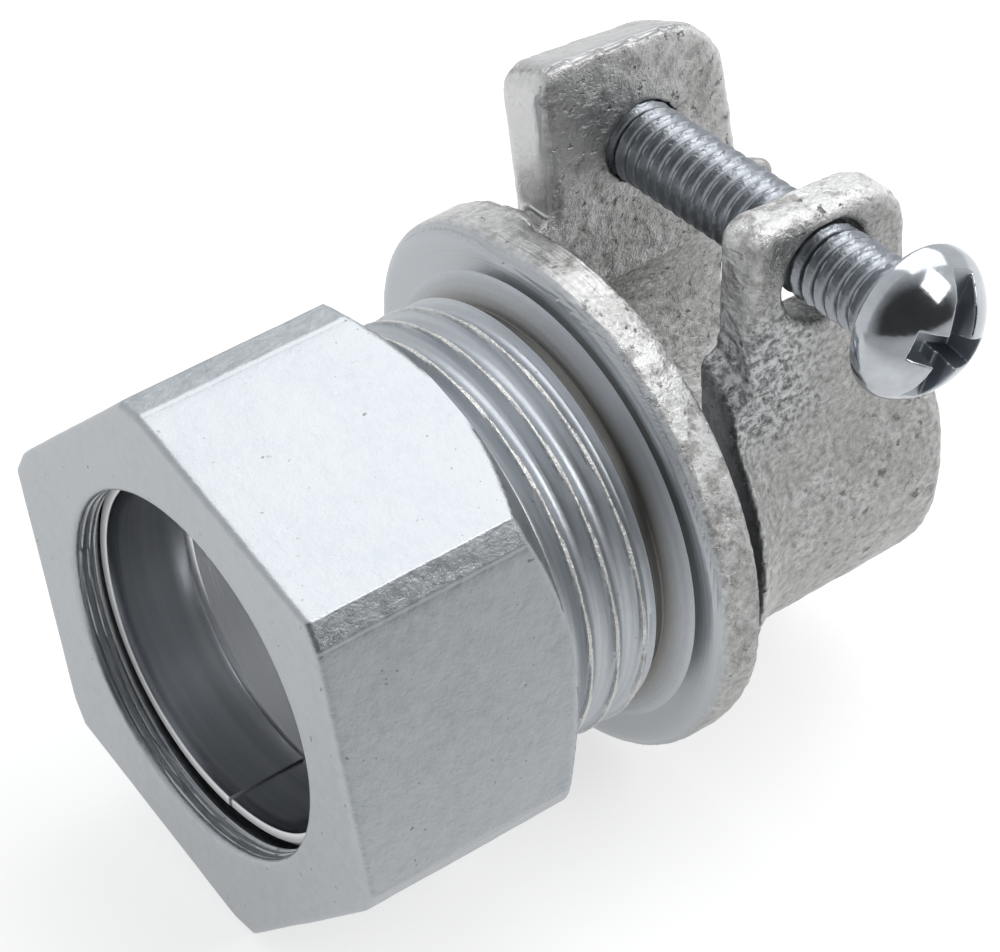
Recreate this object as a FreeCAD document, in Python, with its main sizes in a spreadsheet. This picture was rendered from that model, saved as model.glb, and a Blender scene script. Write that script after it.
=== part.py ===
"""Combination conduit coupling: a compression gland for thin-wall conduit on one end and a squeeze
clamp for flexible metal conduit on the other. Millimetres. +X runs along the coupling from the
gland to the clamp, +Z is up through the clamp's ears, and the screw's head is on the -Y side.
The origin is on the axis at the flange's front face, just before the stop that ends the socket."""
import FreeCAD, Part
import math
import os
import Sketcher

# Driving dimensions: one plain number for each, kept in the sheet under its alias
SIZES = {
    # threaded nose and socket
    "nose_front": -15.2,
    "thread_radius": 11.06,
    "thread_chamfer": 0.76,
    "thread_pitch": 1.5875,
    "thread_depth": 0.6,
    "thread_turns": 7,
    "groove_first": -12.07,
    "groove_half_width": 0.82,
    "relief_start": -1.5,
    "relief_end": -0.65,
    "relief_radius": 10.25,
    "face_step_radius": 11.7,
    "socket_radius": 9.15,
    "stop_face": 0.6,
    "seat_radius": 10.25,
    "seat_end": -14.1,
    # flange
    "rim_radius": 13.25,
    "rim_width": 2.8,
    "throat_radius": 7.15,
    "bulge_radius": 9.4,
    "bulge_side": 3.34,
    "bulge_rise": 3.58,
    "bulge_back": 3.3,
    # sleeve of the clamp
    "sleeve_radius": 10.45,
    "sleeve_end": 17.45,
    "end_lean": 1.0,
    "end_edge": 0.5,
    "end_reach": 14.0,
    "clamp_radius": 7.9,
    "flare_end": 7.0,
    "flare_middle": 4.9,
    "flare_middle_radius": 11.4,
    "flare_root_radius": 12.35,
    "saw_width": 1.2,
    "saw_angle": 170,
    "flap_angle": 90,
    "slit_near": 7.4,
    "slit_far": 3.7,
    # ear on the far side, tapped for the screw
    "far_front": 3.7,
    "far_foot": 4.6,
    "far_foot_height": 11.4,
    "far_back": 15.9,
    "far_back_height": 10.0,
    "far_back_top": 14.6,
    "far_top": 21.15,
    "far_top_tilt": 6,
    "far_top_fall": 1.5,
    "far_thickness": 3.55,
    "tapped_radius": 2.12,
    # ear on the near side, with the loose hole
    "near_front": 5.2,
    "near_foot": 4.95,
    "near_back": 14.7,
    "near_top": 17.9,
    "near_top_back": 17.2,
    "near_thickness": 2.6,
    "flap_top": 10.25,
    "leg_foot": 10.8,
    "flap_radius": 13.05,
    "loose_radius": 2.6,
    "loose_along": 9.75,
    "loose_height": 14.0,
    # cast roundings
    "ear_corner": 1.3,
    "near_corner": 3.0,
    "far_corner": 4.0,
    "cast_edge": 0.45,
    "rim_edge": 0.55,
    # gland nut
    "nut_across_flats": 25.4,
    "nut_front": -20.6,
    "nut_length": 12.9,
    "nut_turn": 18.31,
    "nut_corner": 1.3,
    "nut_face_edge": 0.35,
    "nut_back_radius": 12.75,
    "nut_back_chamfer": 1.8,
    "mouth_radius": 9.4,
    "mouth_length": 1.45,
    "gland_radius": 10.4,
    "gland_cone": 1.0,
    "gland_end": 5.2,
    "nut_thread_radius": 11.12,
    # split compression ring
    "ring_front": -18.95,
    "ring_length": 4.4,
    "ring_inner_radius": 9.2,
    "ring_outer_radius": 10.16,
    "ring_lip": 9.5,
    "ring_bevel": 0.62,
    "ring_gap": 0.5,
    "ring_gap_turn": 0,
    # clamp screw, number 8, 32 threads per inch
    "screw_along": 10.05,
    "screw_height": 14.15,
    "head_seat": 15.3,
    "screw_radius": 2.08,
    "screw_length": 25.4,
    "tip_chamfer": 0.6,
    "head_radius": 3.85,
    "head_height": 3.0,
    "head_rim": 0.5,
    "slot_width": 1.1,
    "slot_depth": 1.5,
    "cross_width": 1.3,
    "cross_reach": 2.25,
    "cross_depth": 2.2,
    "cross_taper": 12,
    "recess_turn": 63.5,
}

doc = FreeCAD.newDocument("conduit_coupling")
sheet = doc.addObject("Spreadsheet::Sheet", "dims")
for row, (alias, number) in enumerate(SIZES.items(), start=1):
    sheet.set("A%d" % row, alias)
    sheet.set("B%d" % row, str(number))
    sheet.setAlias("B%d" % row, alias)
doc.recompute()


def value(text):
    """The number that a sum of aliases and numbers, such as "rim_width + saw_width", stands for."""
    total = 0.0
    sign = 1
    for word in text.split():
        if word in ("+", "-"):
            sign = 1 if word == "+" else -1
        else:
            total += sign * float(SIZES.get(word, word))
            sign = 1
    return total


def formula(text):
    """The same sum as an expression that reads the sheet."""
    return " ".join("dims." + word if word in SIZES else word for word in text.split())


def plane_of(body, role):
    return [item for item in body.Origin.OriginFeatures if item.Role == role][0]


def new_sketch(body, name, role, offset="0", turn="0", tilt="0"):
    """A sketch on one of the body's own planes: moved along the plane's normal, and turned about that
    normal or tilted about the sketch's own horizontal."""
    sketch = body.newObject("Sketcher::SketchObject", name)
    sketch.AttachmentSupport = [(plane_of(body, role), "")]
    sketch.MapMode = "FlatFace"
    hinge = FreeCAD.Vector(1, 0, 0) if tilt != "0" else FreeCAD.Vector(0, 0, 1)
    angle = tilt if tilt != "0" else turn
    sketch.AttachmentOffset = FreeCAD.Placement(
        FreeCAD.Vector(0, 0, value(offset)), FreeCAD.Rotation(hinge, value(angle)))
    sketch.setExpression("AttachmentOffset.Base.z", formula(offset))
    if angle != "0":
        sketch.setExpression("AttachmentOffset.Rotation.Angle", formula(angle))
    return sketch


def tie(sketch, kind, element, point, text):
    """Hold one coordinate of a point, or the radius of a circle, to a sum of sizes."""
    if kind == "Radius":
        number = sketch.addConstraint(Sketcher.Constraint(kind, element, value(text)))
    else:
        number = sketch.addConstraint(Sketcher.Constraint(kind, -1, 1, element, point, value(text)))
    sketch.setExpression("Constraints[%d]" % number, formula(text))


def outline(sketch, corners):
    """A closed outline of straight sides whose corners are given as pairs of sums of sizes."""
    points = [FreeCAD.Vector(value(across), value(up), 0) for across, up in corners]
    count = len(points)
    for index, point in enumerate(points):
        sketch.addGeometry(Part.LineSegment(point, points[(index + 1) % count]), False)
    for index in range(count):
        sketch.addConstraint(Sketcher.Constraint("Coincident", index, 2, (index + 1) % count, 1))
    for index, (across, up) in enumerate(corners):
        tie(sketch, "DistanceX", index, 1, across)
        tie(sketch, "DistanceY", index, 1, up)


def circle(sketch, across, up, radius):
    centre = FreeCAD.Vector(value(across), value(up), 0)
    element = sketch.addGeometry(Part.Circle(centre, FreeCAD.Vector(0, 0, 1), value(radius)), False)
    tie(sketch, "Radius", element, 0, radius)
    tie(sketch, "DistanceX", element, 3, across)
    tie(sketch, "DistanceY", element, 3, up)


def bar(sketch, reach, width):
    """A rectangle centred on the sketch's origin, reaching the same way both sides."""
    half_length = value(reach)
    half_width = value(width) / 2
    corners = ((-1, -1), (1, -1), (1, 1), (-1, 1))
    points = [FreeCAD.Vector(across * half_length, up * half_width, 0) for across, up in corners]
    for index, point in enumerate(points):
        sketch.addGeometry(Part.LineSegment(point, points[(index + 1) % 4]), False)
    for index in range(4):
        sketch.addConstraint(Sketcher.Constraint("Coincident", index, 2, (index + 1) % 4, 1))
    for index, (across, up) in enumerate(corners):
        for kind, size, sign in (("DistanceX", "(" + formula(reach) + ")", across),
                                 ("DistanceY", "(" + formula(width) + ") / 2", up)):
            start = points[index].x if kind == "DistanceX" else points[index].y
            number = sketch.addConstraint(Sketcher.Constraint(kind, -1, 1, index, 1, start))
            sketch.setExpression("Constraints[%d]" % number, ("-" if sign < 0 else "") + size)


def dome(sketch, radius, rim, height):
    """Half the section of a round head: flat underside, short upright rim and one arc to the pole."""
    foot = FreeCAD.Vector(value(radius), 0, 0)
    edge = FreeCAD.Vector(value(radius), value(rim), 0)
    pole = FreeCAD.Vector(0, value(height), 0)
    rise = pole.y - edge.y
    arc_radius = (edge.x ** 2 + rise ** 2) / (2 * rise)
    centre = FreeCAD.Vector(0, pole.y - arc_radius, 0)
    start_angle = math.atan2(edge.y - centre.y, edge.x)
    sketch.addGeometry(Part.LineSegment(FreeCAD.Vector(), foot), False)
    sketch.addGeometry(Part.LineSegment(foot, edge), False)
    sketch.addGeometry(Part.ArcOfCircle(
        Part.Circle(centre, FreeCAD.Vector(0, 0, 1), arc_radius), start_angle, math.pi / 2), False)
    sketch.addGeometry(Part.LineSegment(pole, FreeCAD.Vector()), False)
    for first, end, second, start in ((0, 2, 1, 1), (1, 2, 2, 1), (2, 2, 3, 1), (3, 2, 0, 1)):
        sketch.addConstraint(Sketcher.Constraint("Coincident", first, end, second, start))
    sketch.addConstraint(Sketcher.Constraint("Coincident", 0, 1, -1, 1))
    sketch.addConstraint(Sketcher.Constraint("Horizontal", 0))
    sketch.addConstraint(Sketcher.Constraint("Vertical", 1))
    sketch.addConstraint(Sketcher.Constraint("Vertical", 3))
    sketch.addConstraint(Sketcher.Constraint("PointOnObject", 2, 3, -2))
    tie(sketch, "DistanceX", 0, 2, radius)
    tie(sketch, "DistanceY", 1, 2, rim)
    tie(sketch, "DistanceY", 3, 1, height)


def feature(body, kind, name, sketch, **settings):
    """A feature made from a sketch. A setting given as text is bound to the sheet."""
    item = body.newObject("PartDesign::" + kind, name)
    item.Profile = sketch
    for key, setting in settings.items():
        if isinstance(setting, str) and key != "Type":
            item.setExpression(key, formula(setting))
        else:
            setattr(item, key, setting)
    sketch.Visibility = False
    doc.recompute()
    return item


def turned(body, kind, name, corners, role="XZ_Plane", angle=None, axis="H_Axis", **settings):
    """A turned form, or a turned cut, about an axis of its own sketch."""
    sketch = new_sketch(body, name + "_profile", role)
    outline(sketch, corners)
    settings["Angle"] = angle if angle else 360
    return feature(body, kind, name, sketch, ReferenceAxis=(sketch, [axis]), **settings)


def rounded(body, kind, name, size, wanted):
    """A fillet or chamfer on each edge of the body's last shape that the test picks."""
    tip = body.Tip
    names = ["Edge%d" % number for number, edge in enumerate(tip.Shape.Edges, start=1) if wanted(edge)]
    if not names:
        raise RuntimeError("no edge found for " + name)
    item = body.newObject("PartDesign::" + kind, name)
    item.Base = (tip, names)
    item.setExpression("Radius" if kind == "Fillet" else "Size", formula(size))
    doc.recompute()
    return item


def middle(edge):
    return edge.valueAt((edge.FirstParameter + edge.LastParameter) / 2)


def near(edge, x=None, y=None, z=None, slack=0.05):
    """True when the middle of the edge has the coordinates given."""
    point = middle(edge)
    wanted = ((point.x, x), (point.y, y), (point.z, z))
    return all(want is None or abs(have - want) < slack for have, want in wanted)


def round_size(edge):
    """The radius of a round edge, or 0 for any other."""
    return round(getattr(edge.Curve, "Radius", 0), 3)


def on_ear_face(edge):
    """True for the edges round the two faces of each ear, above the feet of the ears."""
    near_levels = (-SIZES["slit_near"], -SIZES["slit_near"] - SIZES["near_thickness"])
    far_levels = (SIZES["slit_far"], SIZES["slit_far"] + SIZES["far_thickness"])
    box = edge.BoundBox
    for levels, foot in ((near_levels, value("leg_foot")), (far_levels, value("far_foot_height"))):
        flat = any(abs(box.YMin - level) < 0.01 and abs(box.YMax - level) < 0.01 for level in levels)
        if flat and box.ZMax > foot + 0.01 and (box.ZMin > foot - 0.01 or box.XMin > SIZES["far_back_top"]):
            return True
    return False


def coupling_body():
    """The one-piece casting: threaded nose, flange, split sleeve and both ears."""
    body = doc.addObject("PartDesign::Body", "coupling_body")
    turned(body, "Revolution", "outside", [
        ("nose_front", "0"),
        ("nose_front", "thread_radius - thread_chamfer"),
        ("nose_front + thread_chamfer", "thread_radius"),
        ("relief_start", "thread_radius"),
        ("relief_start", "relief_radius"),
        ("relief_end", "relief_radius"),
        ("0", "face_step_radius"),
        ("0", "rim_radius"),
        ("rim_width", "rim_radius"),
        ("rim_width + saw_width", "flare_root_radius"),
        ("flare_middle", "flare_middle_radius"),
        ("flare_end", "sleeve_radius"),
        ("sleeve_end + end_lean", "sleeve_radius"),
        ("sleeve_end + end_lean", "0"),
    ])
    # The sleeve's end is a little out of square, longer on the far side
    sketch = new_sketch(body, "end_profile", "XY_Plane")
    outline(sketch, [
        ("sleeve_end - end_lean", "0 - end_reach"),
        ("sleeve_end + end_lean + 1", "0 - end_reach"),
        ("sleeve_end + end_lean + 1", "end_reach"),
        ("sleeve_end + end_lean", "end_reach"),
    ])
    feature(body, "Pocket", "end_cut", sketch, Type="ThroughAll", Midplane=True)
    sketch = new_sketch(body, "rim_bulge_profile", "YZ_Plane")
    circle(sketch, "bulge_side", "bulge_rise", "bulge_radius")
    feature(body, "Pad", "rim_bulge", sketch, Length="bulge_back")
    rounded(body, "Chamfer", "rim_front_edge", "rim_edge", lambda edge: (
        near(edge, x=0) and round_size(edge) in (SIZES["rim_radius"], SIZES["bulge_radius"])))
    rounded(body, "Chamfer", "sleeve_end_edge", "end_edge", lambda edge: (
        middle(edge).x > SIZES["sleeve_end"] - SIZES["end_lean"]))

    # Ears, drawn in the XZ plane, whose normal is -Y
    sketch = new_sketch(body, "far_ear_profile", "XZ_Plane", "0 - slit_far - far_thickness")
    outline(sketch, [
        ("far_foot", "4"),
        ("far_foot", "far_foot_height"),
        ("far_front", "far_top + 1"),
        ("far_back_top", "far_top + 1"),
        ("far_back", "far_back_height"),
        ("far_back", "4"),
    ])
    feature(body, "Pad", "far_ear", sketch, Length="far_thickness")
    # Its top falls away from the slit, and a little towards the sleeve's end
    sketch = new_sketch(body, "far_top_profile", "YZ_Plane", tilt="far_top_tilt")
    outline(sketch, [
        ("slit_far - 1", "far_top"),
        ("slit_far", "far_top"),
        ("slit_far + far_thickness", "far_top - far_top_fall"),
        ("slit_far + far_thickness + 1", "far_top - far_top_fall"),
        ("slit_far + far_thickness + 1", "far_top + 4"),
        ("slit_far - 1", "far_top + 4"),
    ])
    feature(body, "Pocket", "far_top_slope", sketch, Type="ThroughAll", Reversed=True)
    sketch = new_sketch(body, "near_ear_profile", "XZ_Plane", "slit_near")
    outline(sketch, [
        ("rim_width + saw_width", "2"),
        ("rim_width + saw_width", "flap_top"),
        ("near_foot", "leg_foot"),
        ("near_front", "near_top"),
        ("near_back", "near_top_back"),
        ("near_back", "2"),
    ])
    feature(body, "Pad", "near_ear", sketch, Length="near_thickness")
    y_far = SIZES["slit_far"] + SIZES["far_thickness"] / 2
    z_far = SIZES["far_top"] - SIZES["far_top_fall"] / 2
    y_near = -SIZES["slit_near"] - SIZES["near_thickness"] / 2
    rounded(body, "Fillet", "ear_front_corners", "ear_corner", lambda edge: (
        near(edge, SIZES["far_front"], y_far, z_far, 1)
        or near(edge, SIZES["near_front"], y_near, SIZES["near_top"])))
    rounded(body, "Fillet", "far_back_corner", "far_corner", lambda edge: (
        near(edge, SIZES["far_back_top"], y_far, z_far, 2)))
    rounded(body, "Fillet", "near_back_corner", "near_corner", lambda edge: (
        near(edge, SIZES["near_back"], y_near, SIZES["near_top_back"])))

    rounded(body, "Chamfer", "ear_edges", "cast_edge", on_ear_face)
    # Beside the saw slot the near ear's foot is no larger than the rim
    turned(body, "Groove", "flap_round", [
        ("rim_width + saw_width - 0.5", "flap_radius"),
        ("rim_width + saw_width - 0.5", "rim_radius + 5"),
        ("near_foot", "rim_radius + 5"),
        ("near_foot", "flap_radius"),
    ], angle="flap_angle")

    # The slit between the ears, open upwards
    sketch = new_sketch(body, "slit_profile", "XY_Plane")
    outline(sketch, [
        ("rim_width", "0 - slit_near"),
        ("sleeve_end + end_lean + 1", "0 - slit_near"),
        ("sleeve_end + end_lean + 1", "slit_far"),
        ("rim_width", "slit_far"),
    ])
    feature(body, "Pocket", "slit", sketch, Type="ThroughAll", Reversed=True)

    # The bores of the socket, throat and clamp
    turned(body, "Groove", "bores", [
        ("nose_front - 1", "0"),
        ("nose_front - 1", "seat_radius"),
        ("nose_front", "seat_radius"),
        ("seat_end", "socket_radius"),
        ("stop_face", "socket_radius"),
        ("stop_face", "throat_radius"),
        ("rim_width", "throat_radius"),
        ("rim_width", "clamp_radius"),
        ("sleeve_end + end_lean + 1", "clamp_radius"),
        ("sleeve_end + end_lean + 1", "0"),
    ])
    # The nose's thread, drawn as grooves at its pitch
    groove = turned(body, "Groove", "thread_groove", [
        ("groove_first - groove_half_width", "thread_radius"),
        ("groove_first", "thread_radius - thread_depth"),
        ("groove_first + groove_half_width", "thread_radius"),
        ("groove_first + groove_half_width", "thread_radius + 1"),
        ("groove_first - groove_half_width", "thread_radius + 1"),
    ])
    pattern = body.newObject("PartDesign::LinearPattern", "thread")
    pattern.Originals = [groove]
    pattern.Direction = (groove.Profile[0], ["H_Axis"])
    pattern.setExpression("Length", formula("thread_pitch * ( thread_turns - 1 )"))
    pattern.setExpression("Occurrences", formula("thread_turns"))
    body.Tip = pattern
    doc.recompute()

    # The saw slot that frees the near half of the sleeve to flex
    turned(body, "Groove", "saw_slot", [
        ("rim_width", "throat_radius + 0.5"),
        ("rim_width", "rim_radius + 3"),
        ("rim_width + saw_width", "rim_radius + 3"),
        ("rim_width + saw_width", "throat_radius + 0.5"),
    ], angle="saw_angle")

    sketch = new_sketch(body, "tapped_hole_profile", "XZ_Plane")
    circle(sketch, "screw_along", "screw_height", "tapped_radius")
    feature(body, "Pocket", "tapped_hole", sketch, Type="ThroughAll")
    sketch = new_sketch(body, "loose_hole_profile", "XZ_Plane")
    circle(sketch, "loose_along", "loose_height", "loose_radius")
    feature(body, "Pocket", "loose_hole", sketch, Type="ThroughAll", Reversed=True)
    return body


def gland_nut():
    """The hexagonal nut: mouth, cone that squeezes the ring, and a thread drawn at its major radius."""
    body = doc.addObject("PartDesign::Body", "gland_nut")
    prism = body.newObject("PartDesign::AdditivePrism", "hexagon")
    prism.AttachmentSupport = [(plane_of(body, "YZ_Plane"), "")]
    prism.MapMode = "FlatFace"
    prism.Polygon = 6
    prism.AttachmentOffset = FreeCAD.Placement(
        FreeCAD.Vector(0, 0, SIZES["nut_front"]), FreeCAD.Rotation(FreeCAD.Vector(0, 0, 1), SIZES["nut_turn"]))
    prism.setExpression("AttachmentOffset.Base.z", formula("nut_front"))
    prism.setExpression("AttachmentOffset.Rotation.Angle", formula("nut_turn"))
    prism.setExpression("Circumradius", "dims.nut_across_flats / sqrt(3)")
    prism.setExpression("Height", formula("nut_length"))
    doc.recompute()
    middle_x = SIZES["nut_front"] + SIZES["nut_length"] / 2
    rounded(body, "Fillet", "corners", "nut_corner", lambda edge: near(edge, x=middle_x))
    rounded(body, "Chamfer", "face_edges", "nut_face_edge", lambda edge: near(edge, x=SIZES["nut_front"]))
    turned(body, "Groove", "back_chamfer", [
        ("nut_front + nut_length", "nut_back_radius"),
        ("nut_front + nut_length + 1", "nut_back_radius"),
        ("nut_front + nut_length + 1", "nut_back_radius + 3"),
        ("nut_front + nut_length - nut_back_chamfer", "nut_back_radius + 3"),
        ("nut_front + nut_length - nut_back_chamfer", "nut_back_radius + 2"),
    ])
    turned(body, "Groove", "inside", [
        ("nut_front - 1", "0"),
        ("nut_front - 1", "mouth_radius"),
        ("nut_front + mouth_length", "mouth_radius"),
        ("nut_front + mouth_length + gland_cone", "gland_radius"),
        ("nut_front + gland_end", "gland_radius"),
        ("nut_front + gland_end", "nut_thread_radius"),
        ("nut_front + nut_length + 1", "nut_thread_radius"),
        ("nut_front + nut_length + 1", "0"),
    ])
    return body


def compression_ring():
    """The split steel ring that the nut drives into the nose's seat, bevelled at both ends."""
    body = doc.addObject("PartDesign::Body", "compression_ring")
    turned(body, "Revolution", "band", [
        ("ring_front", "ring_inner_radius"),
        ("ring_front", "ring_lip"),
        ("ring_front + ring_bevel", "ring_outer_radius"),
        ("ring_front + ring_length - ring_bevel", "ring_outer_radius"),
        ("ring_front + ring_length", "ring_lip"),
        ("ring_front + ring_length", "ring_inner_radius"),
    ])
    sketch = new_sketch(body, "gap_profile", "XY_Plane")
    outline(sketch, [
        ("ring_front - 1", "ring_gap_turn"),
        ("ring_front + ring_length + 1", "ring_gap_turn"),
        ("ring_front + ring_length + 1", "ring_gap_turn + ring_gap"),
        ("ring_front - 1", "ring_gap_turn + ring_gap"),
    ])
    feature(body, "Pocket", "gap", sketch, Type="ThroughAll")
    return body


def clamp_screw():
    """The machine screw, drawn about its own Z axis with the head's underside at 0, then laid along Y."""
    body = doc.addObject("PartDesign::Body", "clamp_screw")
    turned(body, "Revolution", "shank", [
        ("0", "0 - screw_length"),
        ("screw_radius - tip_chamfer", "0 - screw_length"),
        ("screw_radius", "tip_chamfer - screw_length"),
        ("screw_radius", "0.5"),
        ("0", "0.5"),
    ], axis="V_Axis")
    sketch = new_sketch(body, "head_profile", "XZ_Plane")
    dome(sketch, "head_radius", "head_rim", "head_height")
    feature(body, "Revolution", "head", sketch, ReferenceAxis=(sketch, ["V_Axis"]), Angle=360)
    sketch = new_sketch(body, "slot_profile", "XY_Plane", "head_height", "recess_turn")
    bar(sketch, "head_radius + 1", "slot_width")
    feature(body, "Pocket", "slot", sketch, Length="slot_depth")
    sketch = new_sketch(body, "cross_arm_profile", "XY_Plane", "head_height", "recess_turn + 90")
    bar(sketch, "cross_reach", "cross_width")
    feature(body, "Pocket", "cross_arm", sketch, Length="cross_depth", TaperAngle=-SIZES["cross_taper"])
    sketch = new_sketch(body, "cross_well_profile", "XY_Plane", "head_height", "recess_turn")
    bar(sketch, "cross_reach", "cross_width")
    feature(body, "Pocket", "cross_well", sketch, Length="cross_depth", TaperAngle=-SIZES["cross_taper"])
    body.Placement = FreeCAD.Placement(
        FreeCAD.Vector(SIZES["screw_along"], -SIZES["head_seat"], SIZES["screw_height"]),
        FreeCAD.Rotation(FreeCAD.Vector(1, 0, 0), 90))
    body.setExpression("Placement.Base.x", "dims.screw_along")
    body.setExpression("Placement.Base.y", "-dims.head_seat")
    body.setExpression("Placement.Base.z", "dims.screw_height")
    return body


coupling_body()
gland_nut()
compression_ring()
clamp_screw()
doc.recompute()
for item in doc.Objects:
    if "Invalid" in item.State or "Error" in item.State:
        raise RuntimeError("failed: " + item.Name)
os.makedirs("parts", exist_ok=True)
for body in [item for item in doc.Objects if item.TypeId == "PartDesign::Body"]:
    shape = body.Shape
    if shape.isNull() or not shape.isValid():
        raise RuntimeError("bad shape: " + body.Label)
    shape.exportStep("parts/%s.step" % body.Label)
    print(body.Label, round(shape.Volume, 2), shape.BoundBox, len(shape.Solids))
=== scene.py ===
"""Zinc-plated conduit coupling: compression gland nut on a threaded nose, split clamp with ears
and its screw. Lengths are in millimetres until a mesh is made, in the frame of the CAD model."""
import math
import bmesh
import bpy
import numpy as np
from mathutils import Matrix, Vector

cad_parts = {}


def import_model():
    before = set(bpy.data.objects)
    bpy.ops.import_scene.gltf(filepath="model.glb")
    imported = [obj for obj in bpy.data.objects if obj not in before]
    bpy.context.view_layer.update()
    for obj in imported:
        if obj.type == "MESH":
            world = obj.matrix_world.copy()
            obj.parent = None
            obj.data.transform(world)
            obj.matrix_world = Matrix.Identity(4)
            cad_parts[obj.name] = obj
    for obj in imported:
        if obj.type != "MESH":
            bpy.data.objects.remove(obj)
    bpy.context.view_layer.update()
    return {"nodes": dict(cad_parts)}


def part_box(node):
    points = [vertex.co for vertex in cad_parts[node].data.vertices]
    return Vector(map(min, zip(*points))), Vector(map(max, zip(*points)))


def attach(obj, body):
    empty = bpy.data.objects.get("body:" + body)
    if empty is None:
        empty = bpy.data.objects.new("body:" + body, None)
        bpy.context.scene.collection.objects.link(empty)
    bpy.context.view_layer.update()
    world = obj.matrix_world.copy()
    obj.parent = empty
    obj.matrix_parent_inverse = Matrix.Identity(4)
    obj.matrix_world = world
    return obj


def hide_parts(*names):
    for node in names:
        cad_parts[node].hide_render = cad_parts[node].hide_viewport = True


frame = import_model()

import openvdb
from mathutils import Matrix, Vector, noise

MM = 0.001

# The photograph's camera: where it looks from and to
VIEW_AZIMUTH = -35.89
VIEW_ELEVATION = 38.26
VIEW_ROLL = -3.13
VIEW_POINT = (-2.84, -0.87, 3.18)
VIEW_DISTANCE = 206.6
VIEW_LENS = 157.1

# Surroundings: pale low down and overhead, and dark towards one side
SKY_LOW = (0.92, 0.93, 0.95)
SKY_HIGH = (0.80, 0.82, 0.84)
SKY_HEIGHT = 0.8
DARK_SIDE = (-0.2, -0.95, 0.12)
DARK_RANGE = (0.35, 0.7)
DARK_LEVEL = 0.07

# Floor: its size in metres, how far it lies below the nut, and its colour
FLOOR_SIZE = 4
FLOOR_DROP = 0.3
FLOOR_COLOUR = 0.42

# The floor's own light: least and most, how far to the near side it fades, and over what width
FLOOR_LIGHT = (0.2, 0.66)
FLOOR_FADE = (62, 30)

# Threaded nose and socket; the relief groove has a start, an end and a radius
THREAD_PITCH = 25.4 / 16
THREAD_RADIUS = 11.06
THREAD_DEPTH = 0.6
THREAD_CREST = 0.13
THREAD_CHAMFER = 0.76
THREAD_FIT = 0.06
THREAD_RUN_OUT = 0.5
RELIEF = (-1.5, -0.65, 10.25)
FACE_STEP_RADIUS = 11.7
SOCKET_RADIUS = 9.15
STOP_FACE = 0.6
HIDDEN_RADIUS = 9.7
SEAT_RADIUS = 10.25
SEAT_LENGTH = 1.1

# Gland nut; its columns of points are closer together at the corners than along the flats
ACROSS_FLATS = 25.4
NUT_TURN = 18.31
NUT_BEVEL = 0.53
NUT_BEVEL_TURN = 12
NUT_CREASE = 0.03
CORNER_SPAN = 5
CORNER_COLUMNS = 40
FLAT_COLUMNS = 30
NUT_EDGE = 0.35
NUT_BACK_SOFT = 0.12
NUT_BACK_RADIUS = 12.75
NUT_BACK_SLOPE = 2 / 1.8
MOUTH_RADIUS = 9.4
MOUTH_LENGTH = 1.3
MOUTH_EDGE = 0.3
MOUTH_PITCH = 0.42
MOUTH_GROOVE = 0.13
CONE_END = 2.3
GLAND_RADIUS = 10.4
GLAND_END = 5.2

# Unevenness of the nut's flats: each with its size and depth
FLAT_WAVES = (4.0, 0.025)
FLAT_GRAIN = (0.8, 0.012)

# Compression ring; its two ends spring inwards beside the gap, and one of them forwards
RING_INNER = 9.05
RING_OUTER = 10.16
RING_LIP = 9.55
RING_BEVEL = 0.62
RING_GAP = 0.06
RING_LIFT = 0.2
SPRUNG_IN = (0.45, 0.3)
SPRUNG_ARC = 0.6
SPRUNG_OUT = 0.12

# Clamp, machined after casting
RIM_WIDTH = 2.8
SAW_WIDTH = 1.2
SAW_FLOOR = 7.65
SAW_END = math.radians(10)
SAW_SOFT = 0.25
THROAT_RADIUS = 7.15
FRONT_FACE = 0.03
NEAR_EAR_FACE = -9.3

# The casting's grid of distances: its spacing, its reach in voxels, and how far corners are rounded
VOXEL = 0.2
GRID_REACH = 5
CONCAVE_ROUND = 0.5
CONVEX_ROUND = 0.2

# The rim's sag and the sleeve's growth: how much, where each starts, and over what width it comes in
RIM_SAG = 0.45
SAG_START = (11.9, 1.3)
SAG_SIDE = (-0.5, -0.85)
SLEEVE_GROW = 0.55
SLEEVE_START = (14.5, 3)
SLEEVE_SPARE = 0.03

# The casting's skin: waves, grain and pits, each with its size and depth
WAVES = (2.6, 0.06)
GRAIN = (0.75, 0.05)
PITS = (0.55, 0.24)
PIT_LEVEL = 0.32
TORN_GRAIN = 0.07
TORN_PITS = 0.4
# Painted shade: how strongly the casting's lower and near-facing side is darkened, weighted by its normal's
# Y and Z
PAINTED_SHADE_SIDE = (-0.35, -0.9)

# Clamp screw, number 8, 32 threads to the inch
SCREW_AXIS = (10.05, 14.15)
SCREW_PITCH = 25.4 / 32
SCREW_RADIUS = 2.08
SCREW_DEPTH = 0.32
SCREW_CREST = 0.14
SCREW_LENGTH = 25.4
TIP_CHAMFER = 0.65
NECK = 0.35

# The tapped hole in the far ear, and that ear's middle and half thickness inside its rough skin
HOLE_RADIUS = 2.13
HOLE_WALL = 0.6
HOLE_ZONE = 2.5
FAR_EAR = (5.45, 1.7)

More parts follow.
